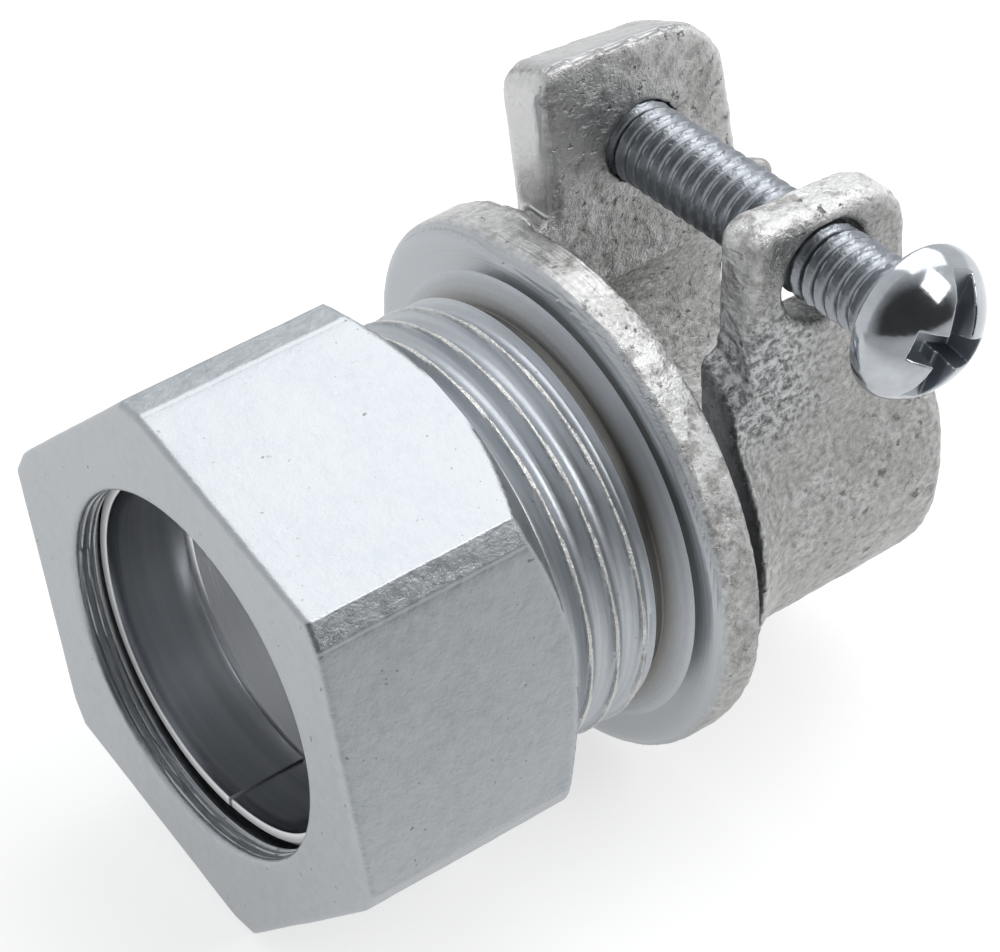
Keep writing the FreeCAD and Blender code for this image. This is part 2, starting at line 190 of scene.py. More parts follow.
# The screw's head and recess
HEAD_RADIUS = 3.85
HEAD_HEIGHT = 3.0
HEAD_RIM = 0.5
HEAD_RISE = HEAD_HEIGHT - HEAD_RIM
DOME_RADIUS = (HEAD_RADIUS ** 2 + HEAD_RISE ** 2) / (2 * HEAD_RISE)
DOME_CENTRE = HEAD_HEIGHT - DOME_RADIUS
HEAD_LIFT = 0.04
HEAD_SOFT = 0.16
HEAD_VOXEL = 0.06
HEAD_MARGIN = 0.3
SLOT_WIDTH = 1.3
SLOT_DEPTH = 1.5
CROSS_WIDTH = 1.65
CROSS_REACH = 2.4
CROSS_DEPTH = 2.2
CROSS_TAPER = math.radians(12)
RECESS_TURN = math.radians(60)
RECESS_SHIFT = (-0.35, -0.1)
RECESS_EDGE = 0.09


def corner(node, which):
    """A corner of a CAD node's box, in millimetres."""
    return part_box(node)[which] / MM


BODY_LOW, BODY_HIGH = corner("coupling_body", 0), corner("coupling_body", 1)
NUT_LOW, NUT_HIGH = corner("gland_nut", 0), corner("gland_nut", 1)
RING_LOW, RING_HIGH = corner("compression_ring", 0), corner("compression_ring", 1)
HEAD_SEAT = corner("clamp_screw", 1).y - SCREW_LENGTH


# Meshes

def mesh_piece(name, points, faces, body, material, replaced, smooth_angle=45):
    """A piece made from points in millimetres and from faces, riding on its body."""
    mesh = bpy.data.meshes.new(name)
    mesh.from_pydata((np.asarray(points) * MM).tolist(), [], faces)
    work = bmesh.new()
    work.from_mesh(mesh)
    bmesh.ops.recalc_face_normals(work, faces=work.faces)
    work.to_mesh(mesh)
    work.free()
    mesh.materials.append(material)
    piece = bpy.data.objects.new(name, mesh)
    bpy.context.scene.collection.objects.link(piece)
    mesh.shade_smooth()
    mesh.set_sharp_from_angle(angle=math.radians(smooth_angle))
    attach(piece, body)
    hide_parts(replaced)
    return piece


def add_layers(piece, **layers):
    """Numbers at the piece's points, for its material."""
    for name, values in layers.items():
        layer = piece.data.attributes.new(name, "FLOAT", "POINT")
        layer.data.foreach_set("value", np.ravel(values).astype(np.float32))


def grid_faces(rows, columns, rows_closed, columns_closed):
    """Quads of a grid whose points are numbered row by row."""
    first = np.arange(rows if rows_closed else rows - 1)
    across = np.arange(columns if columns_closed else columns - 1)
    row, column = (part.ravel() for part in np.meshgrid(first, across, indexing="ij"))
    next_row, next_column = (row + 1) % rows, (column + 1) % columns
    return np.stack([row * columns + column, next_row * columns + column,
                     next_row * columns + next_column, row * columns + next_column], axis=1).tolist()


def profile(corners, step):
    """Points along straight runs between (x, r) corners, no further apart than the step."""
    points = []
    for (x0, r0), (x1, r1) in zip(corners, corners[1:]):
        count = max(1, math.ceil(math.hypot(x1 - x0, r1 - r0) / step))
        for index in range(count):
            share = index / count
            points.append((x0 + (x1 - x0) * share, r0 + (r1 - r0) * share))
    points.append(corners[-1])
    return points


def round_corner(centre, radius, start, end, count=5):
    """Points of an arc in the (x, r) plane, by angles in degrees."""
    angles = np.radians(np.linspace(start, end, count))
    return [(centre[0] + radius * math.cos(a), centre[1] + radius * math.sin(a)) for a in angles]


def thread_drop(x, turn, pitch, depth, crest):
    """How far a right-hand thread's surface lies below its crest, for places and angles in turns."""
    phase = np.abs(((x / pitch - turn) + 0.5) % 1 - 0.5)
    share = np.clip((phase - crest / 2) / (0.5 - crest / 2), 0, 1)
    return depth * (1 - (1 - share) ** 2.2)


def ripple(points, size, seed, octaves=2):
    """Smooth noise between about -1 and 1 at each point."""
    shift = Vector((seed * 7.31, seed * 3.17, seed * 5.71))
    return np.array([noise.fractal(Vector(point) / size + shift, 1.0, 2.0, octaves) for point in points])


def smooth_max(first, second, soft):
    """The larger of two distances, rounded where they meet."""
    blend = np.clip(soft - np.abs(first - second), 0, None) / soft
    return np.maximum(first, second) + blend * blend * soft / 4


def rise(value, start, width):
    """0 up to the start, and 1 from a width past it."""
    return np.clip((value - start) / width, 0, 1)


def fall(value, end, width):
    """1 up to a width before the end, and 0 from the end on."""
    return np.clip((end - value) / width, 0, 1)


def band(value, low, high, soft):
    """1 where the value lies between low and high, falling to 0 within the soft width outside."""
    return rise(value, low - soft, soft) * fall(value, high + soft, soft)


def around_x(x, radius, angle):
    """Points of a turned form about the coupling's axis, from arrays of one shape."""
    return np.stack([x, radius * np.cos(angle), radius * np.sin(angle)], axis=-1).reshape(-1, 3)


def nose():
    """The threaded nose, its relief groove and the conduit socket, as turned from the casting."""
    front = BODY_LOW.x
    relief_start, relief_end, relief_radius = RELIEF
    outline = (
        profile([(front, SEAT_RADIUS), (front, THREAD_RADIUS - THREAD_CHAMFER),
                 (front + THREAD_CHAMFER, THREAD_RADIUS)], 0.15)
        + profile([(front + THREAD_CHAMFER, THREAD_RADIUS), (relief_start - 0.1, THREAD_RADIUS)], 0.1)[1:]
        + profile([(relief_start, THREAD_RADIUS - 0.1), (relief_start, relief_radius + 0.15)], 0.12)
        + round_corner((relief_start + 0.15, relief_radius + 0.15), 0.15, 180, 270, 4)[1:]
        + [(relief_end - 0.05, relief_radius), (relief_end + 0.03, relief_radius + 0.06),
           (-0.08, FACE_STEP_RADIUS - 0.1), (-0.02, FACE_STEP_RADIUS - 0.03),
           (0.0, FACE_STEP_RADIUS + 0.02), (0.1, FACE_STEP_RADIUS + 0.12)]
        + [(0.3, HIDDEN_RADIUS), (STOP_FACE + 0.1, HIDDEN_RADIUS), (STOP_FACE + 0.1, SOCKET_RADIUS - 0.01)]
        + profile([(STOP_FACE - 0.02, SOCKET_RADIUS - 0.01), (front + SEAT_LENGTH, SOCKET_RADIUS)], 0.6)
        + profile([(front + SEAT_LENGTH, SOCKET_RADIUS), (front, SEAT_RADIUS)], 0.2)[1:-1]
    )
    columns = 480
    x, radius = (np.array(part)[:, None] for part in zip(*outline))
    angle = np.linspace(0, 2 * math.pi, columns, endpoint=False)[None, :]
    x, radius, angle = np.broadcast_arrays(x, radius, angle)
    outer = (radius > relief_radius + 0.05) & (x < relief_start + 0.01)
    fade = rise(x, front, THREAD_RUN_OUT) * fall(x, relief_start + 0.25, THREAD_RUN_OUT)
    drop = thread_drop(x, angle / (2 * math.pi), THREAD_PITCH, THREAD_DEPTH, THREAD_CREST) * fade
    torn = ripple(around_x(x, radius, angle), 0.25, 1).reshape(x.shape)
    # The crest mask carries a painted highlight in the material as well as the nicks
    crest = np.clip(1 - drop / 0.1, 0, 1) * outer
    cut = THREAD_RADIUS - drop - 0.05 * crest * np.clip(torn, 0, 1) - 0.006 * torn
    # The bore and seat carry painted light in the material
    bored = (radius < SOCKET_RADIUS + 0.02) & (x > front)
    # The relief groove carries painted shade in the material
    shaded = (x > relief_start - 0.2) & (x < relief_end + 0.05) & (radius < relief_radius + 0.5)
    seat = (x < front + SEAT_LENGTH - 0.05) & (radius < SEAT_RADIUS - 0.05)
    radius = np.where(outer, np.minimum(radius, cut), radius)
    faces = grid_faces(x.shape[0], columns, True, True)
    piece = mesh_piece("coupling_nose", around_x(x, radius, angle), faces, "coupling", turned_zinc(),
                       "coupling_body", 32)
    add_layers(piece, crest=crest, bored=bored | seat, shaded=shaded & ~bored)


def clamp_mesh():
    """The rest of the casting, from the CAD solid, with its inner corners filled and its edges worn."""
    work = bmesh.new()
    work.from_mesh(frame["nodes"]["coupling_body"].data)
    bmesh.ops.remove_doubles(work, verts=work.verts, dist=1e-7)
    parts = work.verts[:] + work.edges[:] + work.faces[:]
    cut = bmesh.ops.bisect_plane(work, geom=parts, plane_co=(FRONT_FACE * MM, 0, 0),
                                 plane_no=(-1, 0, 0), clear_outer=True)
    rim = [item for item in cut["geom_cut"] if isinstance(item, bmesh.types.BMEdge)]
    bmesh.ops.triangle_fill(work, edges=rim, use_beauty=True)
    bmesh.ops.triangulate(work, faces=work.faces[:])
    work.verts.index_update()
    points = np.array([vertex.co[:] for vertex in work.verts]) / MM
    faces = np.array([[vertex.index for vertex in face.verts] for face in work.faces])
    work.free()
    spacing = openvdb.createLinearTransform(voxelSize=VOXEL)
    grid = openvdb.FloatGrid.createLevelSetFromPolygons(
        points, triangles=faces, transform=spacing, halfWidth=GRID_REACH)
    for distance in (CONCAVE_ROUND, -CONCAVE_ROUND - CONVEX_ROUND):
        points, faces = grid.convertToQuads(isovalue=distance)
        grid = openvdb.FloatGrid.createLevelSetFromPolygons(
            points, quads=faces.astype(np.uint32), transform=spacing, halfWidth=GRID_REACH)
    # The face, throat, saw slot and tapped hole are cut again after that, so that they stay clean
    low, high = grid.evalActiveVoxelBoundingBox()
    solid = np.empty([top - bottom + 1 for bottom, top in zip(low, high)], np.float32)
    grid.copyToArray(solid, ijk=low)
    x, y, z = np.meshgrid(*[np.arange(bottom, top + 1) * VOXEL for bottom, top in zip(low, high)],
                          indexing="ij")
    reach = np.hypot(y, z)
    throat = np.maximum(reach - THROAT_RADIUS, x - RIM_WIDTH)
    slot = np.maximum.reduce([np.abs(x - RIM_WIDTH - SAW_WIDTH / 2) - SAW_WIDTH / 2, SAW_FLOOR - reach,
                              y, y * math.cos(SAW_END) - z * math.sin(SAW_END)])
    from_hole = np.hypot(x - SCREW_AXIS[0], z - SCREW_AXIS[1])
    plug = np.maximum(from_hole - HOLE_RADIUS - HOLE_WALL, np.abs(y - FAR_EAR[0]) - FAR_EAR[1])
    solid = np.maximum(np.minimum(solid - CONVEX_ROUND, plug), np.minimum(HOLE_RADIUS - from_hole, y))
    solid = smooth_max(np.maximum.reduce([solid, FRONT_FACE - x, -throat]), -slot, SAW_SOFT)
    edge = GRID_REACH * VOXEL
    cut = openvdb.FloatGrid(edge)
    cut.copyFromArray(np.clip(solid, -edge, edge).astype(np.float32), ijk=low)
    cut.transform = spacing
    return cut.convertToQuads(isovalue=0.0)


def vertex_normals(points, faces):
    """Unit normals at the points of a mesh of quads, outwards."""
    across = points[faces[:, 2]] - points[faces[:, 0]]
    along = points[faces[:, 3]] - points[faces[:, 1]]
    normal = np.cross(across, along)
    total = np.zeros_like(points)
    for index in range(4):
        np.add.at(total, faces[:, index], normal)
    return total / np.maximum(np.linalg.norm(total, axis=1, keepdims=True), 1e-12)


def clamp():
    """Flange rim, split sleeve and ears: rough as cast, except where they were machined."""
    points, faces = clamp_mesh()
    normal = vertex_normals(points, faces)
    x, y, z = points.T
    reach = np.hypot(y, z)
    # The rim hangs a little lower than a true circle, and the sleeve's end slants a little less
    rim = rise(reach, *SAG_START) * fall(x, RIM_WIDTH + 0.2, 0.2)
    sag = RIM_SAG * rim * np.clip((SAG_SIDE[0] * y + SAG_SIDE[1] * z) / reach, 0, 1)
    longest = np.maximum(x, BODY_HIGH.x - SLEEVE_SPARE)
    grown = np.minimum(x + SLEEVE_GROW * rise(x, *SLEEVE_START), longest)
    points = np.stack([grown, y + sag * y / reach, z + sag * z / reach], axis=1)
    x, y, z = points.T
    # The tapped hole stands clear of the screw's thread
    from_hole = np.hypot(x - SCREW_AXIS[0], z - SCREW_AXIS[1])
    hole = (from_hole < HOLE_ZONE) * (y > 0)
    widened = np.where(hole, np.maximum(HOLE_RADIUS / from_hole, 1), 1)
    layers = clamp_layers(x, y, z, reach, normal, hole)
    x = SCREW_AXIS[0] + (x - SCREW_AXIS[0]) * widened
    z = SCREW_AXIS[1] + (z - SCREW_AXIS[1]) * widened
    points = np.stack([x, y, z], axis=1)
    even = np.maximum(layers["smooth"], 0.8 * layers["filed"])
    rough = (1 - layers["machined"]) * (1 - 0.85 * even)
    # Beside the holes, the front edge and the saw slot the skin is calm, so that those edges stay clean
    from_saw = np.minimum(np.abs(x - RIM_WIDTH), np.abs(x - RIM_WIDTH - SAW_WIDTH))
    from_saw = np.where(y < 0, from_saw, 1)
    calm = np.where(y < NEAR_EAR_FACE, HEAD_RADIUS + 0.05, HOLE_ZONE + 0.2)
    rough = rough * rise(from_hole, calm, 0.5) * rise(x, 0.35, 0.5) * rise(from_saw, 0, 0.35)
    pits = np.clip(ripple(points, PITS[0], 4, 1) - PIT_LEVEL, 0, 1)
    shift = (WAVES[1] * ripple(points, WAVES[0], 2)
             + (GRAIN[1] + TORN_GRAIN * layers["foot"]) * ripple(points, GRAIN[0], 3)
             - (PITS[1] + TORN_PITS * layers["foot"]) * pits)
    points = np.clip(points + normal * (rough * shift)[:, None], BODY_LOW, BODY_HIGH)
    piece = mesh_piece("coupling_clamp", points, faces.tolist(), "coupling", cast_zinc(),
                       "coupling_body", 180)
    add_layers(piece, **layers)


def clamp_layers(x, y, z, reach, normal, hole):
    """How the casting's skin varies: machined, smooth, filed, torn at the foot, with a painted highlight on
    the rim and ears and painted shade on its lower side.
    """
    outward = (normal[:, 1] * y + normal[:, 2] * z) / np.maximum(reach, 1e-6)
    inner = (outward < -0.5) * (reach < THROAT_RADIUS + 0.3) * (x < RIM_WIDTH)
    saw = band(x, RIM_WIDTH + 0.1, RIM_WIDTH + SAW_WIDTH - 0.1, 0.3) * (reach < THROAT_RADIUS + 6) * (y < 0)
    saw = saw * np.clip(np.maximum(2 * np.abs(normal[:, 0]) - 0.6, 3 * (SAW_FLOOR + 0.4 - reach)), 0, 1)
    wall = hole * np.clip(2.5 - 3 * np.abs(normal[:, 1]), 0, 1)
    machined = np.clip(np.maximum.reduce([inner * 1.0, fall(x, 0.8, 0.5), saw, wall]), 0, 1)
    # The far ear's outer side and top are smoother than its inner face
    far_side = (y > 3) * (z > 10) * (x > 3) * rise(-normal[:, 0], 0.55, 0.25)
    far_top = (y > 3) * (z > 17) * rise(normal[:, 2], 0.75, 0.2)
    filed = band(x, 0.1, RIM_WIDTH, 0.1) * (outward > 0.5) * band(y, -2.5, 9, 3) * (z > 3)
    # Painted highlights: paler colour on the rim towards the near ear, on the near ear's top and its side
    # facing -X, and on the far ear's inner face
    around = np.degrees(np.arctan2(-y, z))
    painted_highlight_rim = band(around, 30, 54, 12) * band(x, 0.4, RIM_WIDTH + 0.2, 0.2) * np.clip(2 * outward, 0, 1)
    painted_highlight_top = 0.7 * (y < -6) * rise(z, 15, 1.5) * rise(normal[:, 2], 0, 0.5)
    painted_highlight_side = 0.5 * (y < -5) * rise(z, 8.5, 2) * rise(-normal[:, 0], 0, 0.5)
    painted_highlight_far = 0.5 * (y > 0) * (x > 3) * rise(z, 9, 2) * rise(-normal[:, 1], 0, 0.5)
    # The near ear's foot is torn and lumpy, and painted shade darkens the casting's lower and near-facing
    # side
    foot = (y < -5) * band(z, 7.5, 12, 2.5) * fall(x, 10, 3) * rise(x, 3, 0.8)
    return {
        "machined": machined,
        "smooth": np.maximum(far_side, far_top),
        "filed": filed,
        "painted_highlight": np.maximum.reduce([painted_highlight_rim, painted_highlight_top, painted_highlight_side, painted_highlight_far]),
        "foot": foot,
        "painted_shade_below": np.clip(PAINTED_SHADE_SIDE[0] * normal[:, 1] + PAINTED_SHADE_SIDE[1] * normal[:, 2], 0, 1),
    }


def hexagon_radius(angle):
    """Distance from the axis to the nut's outside: six flats, and corners bevelled more to one side."""
    flat = ACROSS_FLATS / 2
    past = (np.degrees(angle) - NUT_TURN + 30) % 60 - 30
    side = flat / np.cos(np.radians(30 - np.abs(past)))
    # The bevel leaves the flat before the corner at a set distance from it
    edge = flat * math.tan(math.radians(30)) - NUT_BEVEL
    lean = math.radians(30 + NUT_BEVEL_TURN)
    away = flat * math.cos(lean) + edge * math.sin(lean)
    bevel = away / np.cos(np.radians(past - NUT_BEVEL_TURN))
    crease = NUT_CREASE * np.exp(-(((past - 4.4) / 0.45) ** 2))
    return -smooth_max(-side, -bevel, 0.03) - crease


def nut():
    """The gland nut: rounded hexagon outside, tapped inside, fine tool lines in its mouth."""
    front, back = NUT_LOW.x, NUT_HIGH.x
    step = []
    for sector in range(6):
        start = NUT_TURN + 60 * sector
        step += list(start + np.linspace(-CORNER_SPAN, CORNER_SPAN, CORNER_COLUMNS, endpoint=False))
        step += list(start + np.linspace(CORNER_SPAN, 60 - CORNER_SPAN, FLAT_COLUMNS, endpoint=False))
    angle = np.radians(np.array(step))[None, :]
    hexagon = hexagon_radius(angle)
    rows = []

    def row(x, radius):
        rows.append((np.broadcast_to(x, hexagon.shape), np.broadcast_to(radius, hexagon.shape)))

    # Rounded mouth edge, face, rounded face edge, flats, back chamfer and back face
    for x, radius in round_corner((front + MOUTH_EDGE, MOUTH_RADIUS + MOUTH_EDGE), MOUTH_EDGE, 270, 180, 6):
        row(x, radius)
    for share in np.linspace(0, 1, 12)[1:]:
        row(front, (MOUTH_RADIUS + MOUTH_EDGE) * (1 - share) + (hexagon - NUT_EDGE) * share)
    for x, inset in round_corner((front + NUT_EDGE, -NUT_EDGE), NUT_EDGE, 180, 90, 6)[1:]:
        row(x, hexagon + inset)
    for x in np.linspace(front + NUT_EDGE, back, 66)[1:]:
        cone = NUT_BACK_RADIUS + (back - x) * NUT_BACK_SLOPE
        blend = np.clip(0.5 + 0.5 * (cone - hexagon) / NUT_BACK_SOFT, 0, 1)
        row(x, cone * (1 - blend) + hexagon * blend - NUT_BACK_SOFT * blend * (1 - blend) * 0.5)
    last = rows[-1][1]
    for share in (0.08, 0.3, 0.6, 0.9, 1):
        row(back + 0.02 * min(share, 0.08) / 0.08, last * (1 - share) + (THREAD_RADIUS + 0.35) * share)
    # Thread, gland bore, cone and mouth
    thread_end = front + GLAND_END
    for x in np.linspace(back - 0.15, thread_end, 78):
        lead = max(0, 0.3 - (back - x))
        drop = thread_drop(x, angle / (2 * math.pi), THREAD_PITCH, THREAD_DEPTH, THREAD_CREST)
        fade = rise(x, thread_end, 0.4)
        row(x, THREAD_RADIUS + THREAD_FIT + lead - drop * fade)
    for x, radius in ((thread_end, GLAND_RADIUS + 0.05), (thread_end - 0.05, GLAND_RADIUS),
                      (front + CONE_END, GLAND_RADIUS), (front + MOUTH_LENGTH, MOUTH_RADIUS)):
        row(x, radius)
    mouth_in, mouth_out = front + MOUTH_LENGTH - 0.03, front + 0.32
    for x in np.linspace(mouth_in, mouth_out, 26):
        phase = ((x - mouth_out) / MOUTH_PITCH - angle / (2 * math.pi)) % 1
        groove = MOUTH_GROOVE * np.clip(np.sin(2 * math.pi * phase) * 1.6 + 0.2, 0, 1)
        ends = rise(x, mouth_out, 0.15) * fall(x, mouth_in, 0.1)
        row(x, MOUTH_RADIUS + groove * ends)
    x = np.stack([item[0][0] for item in rows])
    radius = np.stack([item[1][0] for item in rows])
    turn = np.broadcast_to(angle, x.shape)
    points = around_x(x, radius, turn)
    faces = grid_faces(x.shape[0], x.shape[1], True, True)
    # The flats are a little uneven
    normal = np.stack([np.zeros(len(points)), np.cos(turn).ravel(), np.sin(turn).ravel()], axis=1)
    outside = (radius.ravel() > 12.3)[:, None]
    uneven = FLAT_WAVES[1] * ripple(points, FLAT_WAVES[0], 5)
    uneven = uneven + FLAT_GRAIN[1] * ripple(points, FLAT_GRAIN[0], 6)
    points = np.clip(points + normal * uneven[:, None] * outside, NUT_LOW, NUT_HIGH)
    mesh_piece("gland_nut_hexagon", points, faces, "nut", satin_zinc(), "gland_nut", 50)


def ring():
    """The split compression ring: one end of the band stands a little proud of the other."""
    front, back = RING_LOW.x, RING_HIGH.x
    outline = (
        [(front + 0.08, RING_INNER), (front + 0.02, RING_INNER + 0.03), (front, RING_INNER + 0.08),
         (front, RING_LIP - 0.04), (front + 0.03, RING_LIP)]
        + [(front + RING_BEVEL, RING_OUTER - 0.03), (front + RING_BEVEL + 0.1, RING_OUTER)]
        + [(share, RING_OUTER) for share in np.linspace(front + 1, back - 1, 8)]
        + [(back - RING_BEVEL - 0.1, RING_OUTER), (back - RING_BEVEL, RING_OUTER - 0.03)]
        + [(back - 0.04, RING_LIP), (back, RING_LIP - 0.04), (back, RING_INNER + 0.06)]
        + [(back - 0.02, RING_INNER + 0.02), (back - 0.06, RING_INNER)]
        + [(share, RING_INNER) for share in np.linspace(back - 1, front + 1, 8)]
    )
    gap = RING_GAP / RING_OUTER
    start = 1.5 * math.pi + gap
    end = start + 2 * math.pi - gap
    turns = np.linspace(start, end, 260)
    points = []
    for angle in turns:
        # Both ends spring inwards beside the gap, and one stands a little forward of the other
        past, before = (math.exp(-((away / SPRUNG_ARC) ** 2)) for away in (angle - start, end - angle))
        inward = SPRUNG_IN[0] * past + SPRUNG_IN[1] * before
        for x, radius in outline:
            points.append((x - SPRUNG_OUT * past, radius - inward, angle))
    x, radius, angle = np.array(points).T
    faces = grid_faces(len(turns), len(outline), False, True)
    last = (len(turns) - 1) * len(outline)
    faces.append(list(range(len(outline))))
    faces.append([last + index for index in range(len(outline))])
    piece = mesh_piece("compression_ring_band", around_x(x, radius, angle) + (0, 0, RING_LIFT), faces,
                       "ring", ring_steel(), "compression_ring")
    # The outline's points after the first, up to its fifth, are the front lip
    order = np.arange(len(x)) % len(outline)
    # The lip carries a painted highlight in the material
    add_layers(piece, lip=(order > 0) & (order < 5))


def on_screw(points):
    """From the screw's own frame, head up along Z from the head's underside, to the part's."""
    across, up, along = np.asarray(points).T
    return np.stack([across + SCREW_AXIS[0], HEAD_SEAT - along, up + SCREW_AXIS[1]], axis=1)


def shank():
    """The rolled thread of the clamp screw, from its tip to just inside the head."""
    tip = -SCREW_LENGTH
    along = np.concatenate([[tip] * 6, np.arange(tip + 0.02, -NECK, 0.055), [-0.3, -0.15, 0.0, 0.25, 0.25]])
    radius = np.full(len(along), SCREW_RADIUS)
    radius[:6] = np.linspace(0.02, 1.0, 6) * (SCREW_RADIUS - TIP_CHAMFER)
    radius[-1] = 0.02
    columns = 96
    angle = np.linspace(0, 2 * math.pi, columns, endpoint=False)[None, :]
    place, radius = along[:, None] + 0 * angle, radius[:, None] + 0 * angle
    drop = thread_drop(-place, angle / (2 * math.pi), SCREW_PITCH, SCREW_DEPTH, SCREW_CREST)
    fade = fall(place, -NECK, 0.5)
    lead = np.clip(TIP_CHAMFER - (place - tip), 0, TIP_CHAMFER)
    cut = np.minimum(SCREW_RADIUS - drop * fade - 0.05 * (1 - fade), SCREW_RADIUS - lead)
    threaded = (place > tip + 0.01) & (place < 0.2)
    radius = np.where(threaded, cut, radius)
    points = np.stack([radius * np.cos(angle), radius * np.sin(angle), place], axis=-1).reshape(-1, 3)
    faces = grid_faces(len(along), columns, False, True)
    faces.append(list(range(columns)))
    faces.append([(len(along) - 1) * columns + index for index in range(columns)])
    return on_screw(points), faces


def head():
    """The domed head with its slot and cross recess, worked out on a fine grid of distances."""
    size = HEAD_VOXEL
    half = math.ceil((HEAD_RADIUS + HEAD_MARGIN) / size)
    top = math.ceil((HEAD_HEIGHT + HEAD_MARGIN) / size)
    bottom = math.ceil(HEAD_MARGIN / size)
    side = np.arange(-half, half + 1) * size
    up = np.arange(-bottom, top + 1) * size
    a, b, c = np.meshgrid(side, side, up, indexing="ij")
    reach = np.hypot(a, b)
    dome = np.sqrt(reach ** 2 + (c - DOME_CENTRE) ** 2) - DOME_RADIUS
    solid = smooth_max(smooth_max(dome, reach - HEAD_RADIUS, HEAD_SOFT), HEAD_LIFT - c, HEAD_SOFT)

    def arm(along, across):
        """One arm of the cross, with sides that lean in as it goes down."""
        lean = (HEAD_HEIGHT - c) * math.tan(CROSS_TAPER)
        walls = np.maximum(np.abs(along) - CROSS_REACH, np.abs(across) - CROSS_WIDTH / 2) + lean
        return np.maximum(walls * math.cos(CROSS_TAPER), HEAD_HEIGHT - CROSS_DEPTH - c)

    aside, over = a - RECESS_SHIFT[0], b - RECESS_SHIFT[1]
    slot = np.maximum(np.abs(over) - SLOT_WIDTH / 2, HEAD_HEIGHT - SLOT_DEPTH - c)
    recess = np.minimum(np.minimum(slot, arm(aside, over)), arm(over, aside))
    solid = smooth_max(solid, -recess, RECESS_EDGE)
    grid = openvdb.FloatGrid(4 * size)
    grid.copyFromArray(np.clip(solid, -4 * size, 4 * size).astype(np.float32))
    grid.transform = openvdb.createLinearTransform(voxelSize=size)
    points, faces = grid.convertToQuads(isovalue=0.0)
    points = points - np.array([half, half, bottom]) * size
    # Points on the dome are set on it exactly, so that it reflects without ripples
    reach = np.hypot(points[:, 0], points[:, 1])
    span = np.sqrt(reach ** 2 + (points[:, 2] - DOME_CENTRE) ** 2)
    on_dome = (np.abs(span - DOME_RADIUS) < 0.012) & (reach < HEAD_RADIUS - 0.2)
    pull = np.where(on_dome, DOME_RADIUS / span, 1.0)
    points[:, 0] *= pull
    points[:, 1] *= pull
    points[:, 2] = DOME_CENTRE + (points[:, 2] - DOME_CENTRE) * pull
    turn = np.array([[math.cos(RECESS_TURN), -math.sin(RECESS_TURN), 0],
                     [math.sin(RECESS_TURN), math.cos(RECESS_TURN), 0], [0, 0, 1]])
    return on_screw(points @ turn.T), faces.tolist()


def screw():
    """Shank and head are one piece: the shank's end lies hidden inside the head."""
    shank_points, shank_faces = shank()
    head_points, head_faces = head()
    count = len(shank_points)
    faces = shank_faces + [[index + count for index in face] for face in head_faces]
    piece = mesh_piece("clamp_screw_threaded", np.concatenate([shank_points, head_points]), faces,
                       "screw", bright_zinc(), "clamp_screw")
    # Points of the head that lie well under its dome belong to the recess
    place = np.array([vertex.co[:] for vertex in piece.data.vertices]) / MM - np.array(
        [SCREW_AXIS[0], HEAD_SEAT, SCREW_AXIS[1]])
    depth = DOME_RADIUS - np.linalg.norm(place + (0, DOME_CENTRE, 0), axis=1)
    inside = np.hypot(place[:, 0], place[:, 2]) < HEAD_RADIUS - HEAD_MARGIN
    inside = inside & (depth > 0.06) & (place[:, 1] < -0.4)
    # The recess carries painted shade in the material
    add_layers(piece, rolled=np.arange(len(place)) < count, recess=inside)


# Materials: colours of the platings, dark and pale where there are two, of what lies on them, and of
# painted highlights, painted light and painted shade
SATIN = ((0.37, 0.395, 0.415), (0.445, 0.465, 0.485))
SATIN_CLOUD = (0.44, 0.455, 0.465)
SATIN_SPECK = (0.22, 0.22, 0.21)
TURNED = ((0.42, 0.445, 0.475), (0.52, 0.545, 0.57))
TURNED_SPECK = (0.25, 0.25, 0.25)
# Painted highlight on the thread crests
TURNED_CREST_HIGHLIGHT = (0.66, 0.65, 0.62)
# Painted light in the bore and seat
TURNED_BORE_LIGHT = (0.95, 0.96, 0.97)
# Painted shade in the relief groove
TURNED_RELIEF_SHADE = (0.2, 0.195, 0.185)
CAST = ((0.27, 0.265, 0.26), (0.66, 0.655, 0.65))
CAST_STAIN = (0.34, 0.335, 0.32)
# Pale flecked colours of the painted highlight, also used on the filed rim
CAST_FILED_AND_HIGHLIGHT_FLECKS = ((0.4, 0.39, 0.38), (0.82, 0.82, 0.81))
# Painted shade on the casting's lower and near-facing side
CAST_PAINTED_SHADE = (0.25, 0.25, 0.245)
CAST_TEARS = ((0.1, 0.11, 0.115), (0.72, 0.74, 0.75))
CAST_PIT = (0.2, 0.2, 0.195)
CAST_MACHINED = (0.42, 0.44, 0.46)
CAST_SMOOTH = (0.58, 0.58, 0.58)
STRIP = ((0.40, 0.42, 0.45), (0.52, 0.54, 0.57))
# Painted highlight on the ring's front lip
STRIP_LIP_HIGHLIGHT = (0.95, 0.95, 0.95)
BRIGHT = ((0.40, 0.42, 0.445), (0.50, 0.525, 0.55))
BRIGHT_THREAD = (0.30, 0.32, 0.345)
# Painted shade in the head's recess
BRIGHT_RECESS_SHADE = (0.36, 0.385, 0.42)


